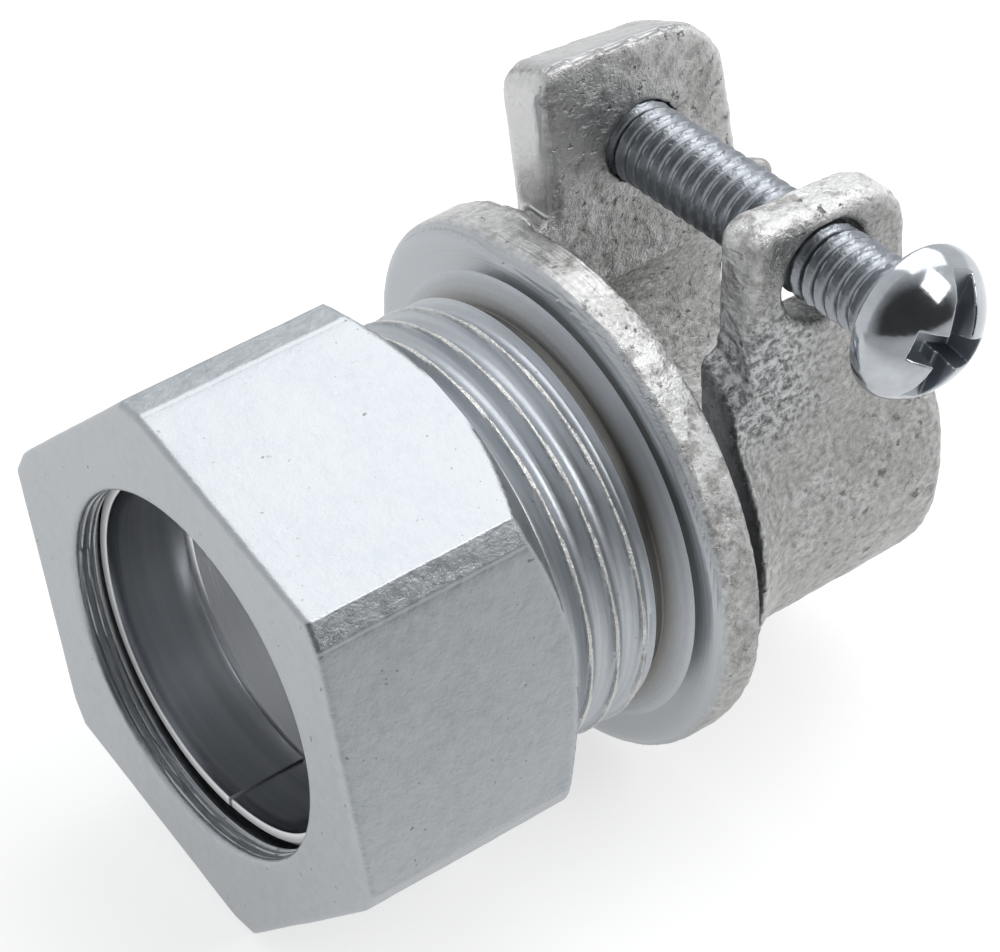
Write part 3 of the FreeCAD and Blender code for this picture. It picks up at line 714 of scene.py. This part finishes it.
class Shader:
    """A material's node tree, with short calls for the nodes that the metals share."""

    def __init__(self, name):
        self.material = bpy.data.materials.new(name)
        self.material.use_nodes = True
        self.tree = self.material.node_tree
        self.surface = self.tree.nodes["Principled BSDF"]
        self.place = self.tree.nodes.new("ShaderNodeTexCoord").outputs["Object"]

    def put(self, socket, value):
        if isinstance(value, bpy.types.NodeSocket):
            self.tree.links.new(value, socket)
        elif value is not None:
            socket.default_value = value

    def math(self, operation, first, second=None, third=None, clamp=False):
        node = self.tree.nodes.new("ShaderNodeMath")
        node.operation = operation
        node.use_clamp = clamp
        for socket, value in zip(node.inputs, (first, second, third)):
            self.put(socket, value)
        return node.outputs[0]

    def scaled(self, scale):
        node = self.tree.nodes.new("ShaderNodeMapping")
        node.inputs["Scale"].default_value = scale if isinstance(scale, tuple) else (scale,) * 3
        self.put(node.inputs["Vector"], self.place)
        return node.outputs[0]

    def noise(self, per_mm, detail=4, roughness=0.6, vector=None):
        """Cloudy noise, with about so many blotches to a millimetre."""
        node = self.tree.nodes.new("ShaderNodeTexNoise")
        self.put(node.inputs["Vector"], vector or self.place)
        node.inputs["Scale"].default_value = per_mm / MM if vector is None else 1.0
        node.inputs["Detail"].default_value = detail
        node.inputs["Roughness"].default_value = roughness
        return node.outputs["Fac"]

    def streaks(self, across, along, detail=3):
        """Noise drawn out round the coupling's axis: so many lines to a millimetre along it."""
        node = self.tree.nodes.new("ShaderNodeTexNoise")
        self.put(node.inputs["Vector"], self.scaled((across / MM, along / MM, along / MM)))
        node.inputs["Scale"].default_value = 1.0
        node.inputs["Detail"].default_value = detail
        return node.outputs["Fac"]

    def rings(self, per_mm, detail=3):
        """Noise in circles about the coupling's axis, as a lathe leaves on a flat face."""
        split = self.tree.nodes.new("ShaderNodeSeparateXYZ")
        self.put(split.inputs[0], self.place)
        square = self.math("ADD", self.math("MULTIPLY", split.outputs["Y"], split.outputs["Y"]),
                           self.math("MULTIPLY", split.outputs["Z"], split.outputs["Z"]))
        join = self.tree.nodes.new("ShaderNodeCombineXYZ")
        self.put(join.inputs["X"], self.math("MULTIPLY", self.math("SQRT", square), per_mm / MM))
        node = self.tree.nodes.new("ShaderNodeTexNoise")
        self.put(node.inputs["Vector"], join.outputs[0])
        node.inputs["Scale"].default_value = 1.0
        node.inputs["Detail"].default_value = detail
        return node.outputs["Fac"]

    def ramp(self, value, stops):
        node = self.tree.nodes.new("ShaderNodeValToRGB")
        self.put(node.inputs["Fac"], value)
        elements = node.color_ramp.elements
        while len(elements) < len(stops):
            elements.new(0.5)
        for element, (position, level) in zip(elements, stops):
            element.position = position
            colour = level if isinstance(level, tuple) else (level,) * 3
            element.color = (*colour, 1)
        return node.outputs["Color"]

    def mix(self, share, first, second):
        node = self.tree.nodes.new("ShaderNodeMix")
        node.data_type = "RGBA"
        self.put(node.inputs["Factor"], share)
        for socket, value in ((node.inputs["A"], first), (node.inputs["B"], second)):
            self.put(socket, (*value, 1) if isinstance(value, tuple) else value)
        return node.outputs["Result"]

    def blend(self, share, first, second):
        """A number between two others."""
        node = self.tree.nodes.new("ShaderNodeMix")
        node.data_type = "FLOAT"
        self.put(node.inputs["Factor"], share)
        self.put(node.inputs["A"], first)
        self.put(node.inputs["B"], second)
        return node.outputs["Result"]

    def layer(self, name):
        node = self.tree.nodes.new("ShaderNodeAttribute")
        node.attribute_name = name
        return node.outputs["Fac"]

    def bump(self, height, depth, normal=None):
        """Relief whose height runs from 0 to 1 over a depth in millimetres."""
        node = self.tree.nodes.new("ShaderNodeBump")
        node.inputs["Strength"].default_value = 1.0
        node.inputs["Distance"].default_value = depth * MM
        self.put(node.inputs["Height"], height)
        self.put(node.inputs["Normal"], normal)
        return node.outputs["Normal"]

    def finish(self, colour, roughness, normal):
        self.surface.inputs["Metallic"].default_value = 1.0
        self.put(self.surface.inputs["Base Color"], colour)
        self.put(self.surface.inputs["Roughness"], roughness)
        self.put(self.surface.inputs["Normal"], normal)
        return self.material


def satin_zinc():
    """The nut: even satin plating with faint mottling, fine grain and a few small dark specks."""
    shader = Shader("satin_zinc")
    clouds = shader.noise(0.3, 3)
    mottle = shader.noise(1.6, 4, 0.65)
    grain = shader.noise(4.5, 4, 0.7)
    specks = shader.ramp(shader.noise(2.6, 2, 0.45), [(0.225, 0.0), (0.27, 1.0)])
    colour = shader.ramp(mottle, [(0.35, SATIN[0]), (0.65, SATIN[1])])
    colour = shader.mix(shader.ramp(clouds, [(0.35, 0.0), (0.65, 0.5)]), colour, SATIN_CLOUD)
    colour = shader.mix(specks, SATIN_SPECK, colour)
    roughness = shader.math("MULTIPLY_ADD", mottle, 0.3, 0.22)
    normal = shader.bump(mottle, 0.03)
    normal = shader.bump(grain, 0.02, normal)
    return shader.finish(colour, roughness, normal)


def turned_zinc():
    """The nose: turned metal, drawn round the axis in fine lines, nicked on the crests, with a painted
    highlight on the crests, painted light in the bore and painted shade in the relief groove.
    """
    shader = Shader("turned_zinc")
    crest, bored, shaded = (shader.layer(name) for name in ("crest", "bored", "shaded"))
    lines = shader.streaks(7.0, 0.06)
    grain = shader.noise(4.0, 4, 0.7)
    colour = shader.ramp(lines, [(0.3, TURNED[0]), (0.7, TURNED[1])])
    specks = shader.ramp(shader.noise(2.2, 2, 0.5), [(0.22, 0.0), (0.26, 1.0)])
    colour = shader.mix(specks, TURNED_SPECK, colour)
    # Painted highlight on the crests
    colour = shader.mix(shader.math("MULTIPLY", crest, 0.8), colour, TURNED_CREST_HIGHLIGHT)
    # Painted light in the bore and seat
    colour = shader.mix(bored, colour, TURNED_BORE_LIGHT)
    # Painted shade in the relief groove
    colour = shader.mix(shaded, colour, TURNED_RELIEF_SHADE)
    roughness = shader.math("MULTIPLY_ADD", grain, 0.25, 0.32)
    roughness = shader.blend(bored, roughness, 0.38)
    normal = shader.bump(lines, 0.015)
    normal = shader.bump(grain, 0.01, normal)
    nicks = shader.math("MULTIPLY", shader.noise(5.0, 3, 0.6), crest)
    return shader.finish(colour, roughness, shader.bump(nicks, 0.12, normal))


def cast_zinc():
    """The casting: grainy plated skin, pale and flecked where it was filed and where a highlight is
    painted, darkened by painted shade on its lower side, smoother where it was machined or filed.
    """
    shader = Shader("cast_zinc")
    machined, smooth, filed, painted_highlight, foot, painted_shade_below = (
        shader.layer(name) for name in ("machined", "smooth", "filed", "painted_highlight", "foot", "painted_shade_below"))
    coarse = shader.noise(0.9, 5, 0.65)
    fine = shader.noise(2.6, 5, 0.7)
    pits = shader.ramp(shader.noise(1.7, 3, 0.55), [(0.27, 0.0), (0.37, 1.0)])
    blotches = shader.noise(0.4, 3, 0.5)
    colour = shader.ramp(fine, [(0.36, CAST[0]), (0.64, CAST[1])])
    stain = shader.ramp(blotches, [(0.38, 0.0), (0.62, 0.4)])
    colour = shader.mix(stain, colour, CAST_STAIN)
    filed_and_highlight_flecks = shader.ramp(coarse, [(0.38, CAST_FILED_AND_HIGHLIGHT_FLECKS[0]), (0.5, CAST_FILED_AND_HIGHLIGHT_FLECKS[1])])
    # Painted highlight on the rim and ears, together with the filed rim's pale flecked colour
    filed_and_painted_highlight = shader.math("MAXIMUM", painted_highlight, shader.math("MULTIPLY", filed, 0.35))
    colour = shader.mix(filed_and_painted_highlight, colour, filed_and_highlight_flecks)
    # Painted shade darkens the lower and near-facing side
    colour = shader.mix(shader.math("MULTIPLY", painted_shade_below, 0.55), colour, CAST_PAINTED_SHADE)
    tears = shader.ramp(fine, [(0.42, CAST_TEARS[0]), (0.56, CAST_TEARS[1])])
    colour = shader.mix(shader.math("MULTIPLY", foot, 0.6), colour, tears)
    colour = shader.mix(pits, CAST_PIT, colour)
    even = shader.math("MAXIMUM", machined, shader.math("MULTIPLY", smooth, 0.8))
    colour = shader.mix(machined, colour, CAST_MACHINED)
    colour = shader.mix(shader.math("MULTIPLY", smooth, 0.85), colour, CAST_SMOOTH)
    roughness = shader.blend(even, shader.math("MULTIPLY_ADD", coarse, 0.45, 0.12), 0.32)
    rough = shader.math("SUBTRACT", 1.0, shader.math("MAXIMUM", even, shader.math("MULTIPLY", filed, 0.8)))
    relief = shader.math("ADD", shader.math("MULTIPLY", coarse, 0.8), shader.math("MULTIPLY", fine, 0.5))
    relief = shader.math("ADD", relief, shader.math("MULTIPLY", pits, 0.35))
    normal = shader.bump(shader.math("MULTIPLY", relief, rough), 0.26)
    strokes = shader.math("MULTIPLY", shader.streaks(5.0, 0.12), filed)
    normal = shader.bump(strokes, 0.08, normal)
    rings = shader.math("MULTIPLY", shader.rings(8.0), machined)
    normal = shader.bump(rings, 0.015, normal)
    return shader.finish(colour, roughness, normal)


def ring_steel():
    """The compression ring: smooth strip with long faint draw lines, and a painted highlight on its front
    lip.
    """
    shader = Shader("ring_steel")
    lines = shader.streaks(2.0, 0.05)
    colour = shader.ramp(lines, [(0.3, STRIP[0]), (0.7, STRIP[1])])
    # Painted highlight on the front lip
    colour = shader.mix(shader.layer("lip"), colour, STRIP_LIP_HIGHLIGHT)
    roughness = shader.math("MULTIPLY_ADD", lines, 0.15, 0.14)
    roughness = shader.blend(shader.layer("lip"), roughness, 0.75)
    return shader.finish(colour, roughness, shader.bump(lines, 0.008))


def bright_zinc():
    """The screw: nearly a mirror on the head, duller on the rolled thread, with painted shade in the
    recess.
    """
    shader = Shader("bright_zinc")
    rolled, recess = shader.layer("rolled"), shader.layer("recess")
    clouds = shader.noise(0.8, 3)
    grain = shader.noise(5.0, 3, 0.6)
    colour = shader.ramp(clouds, [(0.3, BRIGHT[0]), (0.7, BRIGHT[1])])
    colour = shader.mix(rolled, colour, BRIGHT_THREAD)
    # Painted shade in the recess
    colour = shader.mix(recess, colour, BRIGHT_RECESS_SHADE)
    roughness = shader.math("MULTIPLY_ADD", grain, 0.12, 0.06)
    roughness = shader.math("MULTIPLY_ADD", rolled, 0.24, roughness)
    roughness = shader.math("MULTIPLY_ADD", recess, 0.25, roughness)
    scuffs = shader.math("MULTIPLY", grain, shader.math("MULTIPLY_ADD", rolled, 0.9, 0.1))
    return shader.finish(colour, roughness, shader.bump(scuffs, 0.03))


# Stage: floor, background, lamps and camera

def floor():
    """A plain pale floor that shows white to the camera and keeps the object's shadow."""
    bpy.ops.mesh.primitive_plane_add(size=FLOOR_SIZE, location=(0, 0, (NUT_LOW.z - FLOOR_DROP) * MM))
    plane = bpy.context.object
    plane.name = "floor"
    shader = Shader("pale_floor")
    shader.surface.inputs["Base Color"].default_value = (FLOOR_COLOUR, FLOOR_COLOUR, FLOOR_COLOUR, 1)
    shader.surface.inputs["Roughness"].default_value = 1.0
    shader.surface.inputs["Specular IOR Level"].default_value = 0.0
    rays = shader.tree.nodes.new("ShaderNodeLightPath").outputs
    reflected = shader.math("MAXIMUM", rays["Is Glossy Ray"], rays["Is Transmission Ray"])
    # What the metal reflects of the floor darkens towards the near side, out of the camera's sight
    split = shader.tree.nodes.new("ShaderNodeSeparateXYZ")
    shader.put(split.inputs[0], shader.place)
    far = shader.math("MULTIPLY_ADD", split.outputs["Y"], 1 / FLOOR_FADE[1] / MM,
                      FLOOR_FADE[0] / FLOOR_FADE[1], clamp=True)
    level = shader.math("MULTIPLY_ADD", far, FLOOR_LIGHT[1] - FLOOR_LIGHT[0], FLOOR_LIGHT[0])
    level = shader.math("MULTIPLY", level, reflected)
    level = shader.math("MULTIPLY_ADD", rays["Is Camera Ray"], FLOOR_LIGHT[1], level)
    shader.surface.inputs["Emission Color"].default_value = (1, 1, 1, 1)
    shader.put(shader.surface.inputs["Emission Strength"], level)
    plane.data.materials.append(shader.material)


def world():
    """A studio's surroundings: pale low down, a little darker overhead, and dark on one side."""
    sky = bpy.data.worlds.new("studio")
    bpy.context.scene.world = sky
    sky.use_nodes = True
    tree = sky.node_tree
    place = tree.nodes.new("ShaderNodeTexCoord").outputs["Generated"]
    split = tree.nodes.new("ShaderNodeSeparateXYZ")
    tree.links.new(place, split.inputs[0])
    height = tree.nodes.new("ShaderNodeValToRGB")
    tree.links.new(split.outputs["Z"], height.inputs["Fac"])
    height.color_ramp.elements[0].color = (*SKY_LOW, 1)
    height.color_ramp.elements[1].color = (*SKY_HIGH, 1)
    height.color_ramp.elements[1].position = SKY_HEIGHT
    toward = tree.nodes.new("ShaderNodeVectorMath")
    toward.operation = "DOT_PRODUCT"
    tree.links.new(place, toward.inputs[0])
    toward.inputs[1].default_value = Vector(DARK_SIDE).normalized()
    dark = tree.nodes.new("ShaderNodeValToRGB")
    tree.links.new(toward.outputs["Value"], dark.inputs["Fac"])
    dark.color_ramp.elements[0].color = (1, 1, 1, 1)
    dark.color_ramp.elements[0].position = DARK_RANGE[0]
    dark.color_ramp.elements[1].color = (DARK_LEVEL, DARK_LEVEL, DARK_LEVEL, 1)
    dark.color_ramp.elements[1].position = DARK_RANGE[1]
    both = tree.nodes.new("ShaderNodeMix")
    both.data_type = "RGBA"
    both.blend_type = "MULTIPLY"
    both.inputs["Factor"].default_value = 1.0
    tree.links.new(height.outputs["Color"], both.inputs["A"])
    tree.links.new(dark.outputs["Color"], both.inputs["B"])
    # The camera itself sees white
    seen = tree.nodes.new("ShaderNodeMix")
    seen.data_type = "RGBA"
    seen.inputs["B"].default_value = (1, 1, 1, 1)
    tree.links.new(tree.nodes.new("ShaderNodeLightPath").outputs["Is Camera Ray"], seen.inputs["Factor"])
    tree.links.new(both.outputs["Result"], seen.inputs["A"])
    tree.links.new(seen.outputs["Result"], tree.nodes["Background"].inputs["Color"])


def softbox(name, direction, distance, size, power):
    """A rectangular lamp that shines on the object from a direction, at a distance in millimetres."""
    lamp = bpy.data.lights.new(name, "AREA")
    lamp.shape = "RECTANGLE"
    lamp.size, lamp.size_y = size[0] * MM, size[1] * MM
    lamp.energy = power
    item = bpy.data.objects.new(name, lamp)
    bpy.context.scene.collection.objects.link(item)
    away = Vector(direction).normalized()
    item.location = away * distance * MM
    item.rotation_euler = away.to_track_quat("Z", "Y").to_euler()


def camera():
    lens = bpy.data.cameras.new("camera")
    lens.sensor_width = 36
    lens.lens = VIEW_LENS
    lens.clip_start, lens.clip_end = 0.005, 20
    item = bpy.data.objects.new("camera", lens)
    bpy.context.scene.collection.objects.link(item)
    azimuth, elevation = math.radians(VIEW_AZIMUTH), math.radians(VIEW_ELEVATION)
    back = Vector((math.sin(azimuth) * math.cos(elevation), -math.cos(azimuth) * math.cos(elevation),
                   math.sin(elevation)))
    item.location = (Vector(VIEW_POINT) + back * VIEW_DISTANCE) * MM
    turn = (-back).to_track_quat("-Z", "Y").to_matrix()
    item.rotation_euler = (turn @ Matrix.Rotation(math.radians(VIEW_ROLL), 3, "Z")).to_euler()
    bpy.context.scene.camera = item


nose()
clamp()
nut()
ring()
screw()
floor()
world()
softbox("top_lamp", direction=(0.5, 0.1, 0.86), distance=500, size=(500, 500), power=1.2)
softbox("front_lamp", direction=(0.46, -0.63, 0.62), distance=500, size=(230, 240), power=0.9)
camera()

scene = bpy.context.scene
scene.view_settings.view_transform = "Standard"
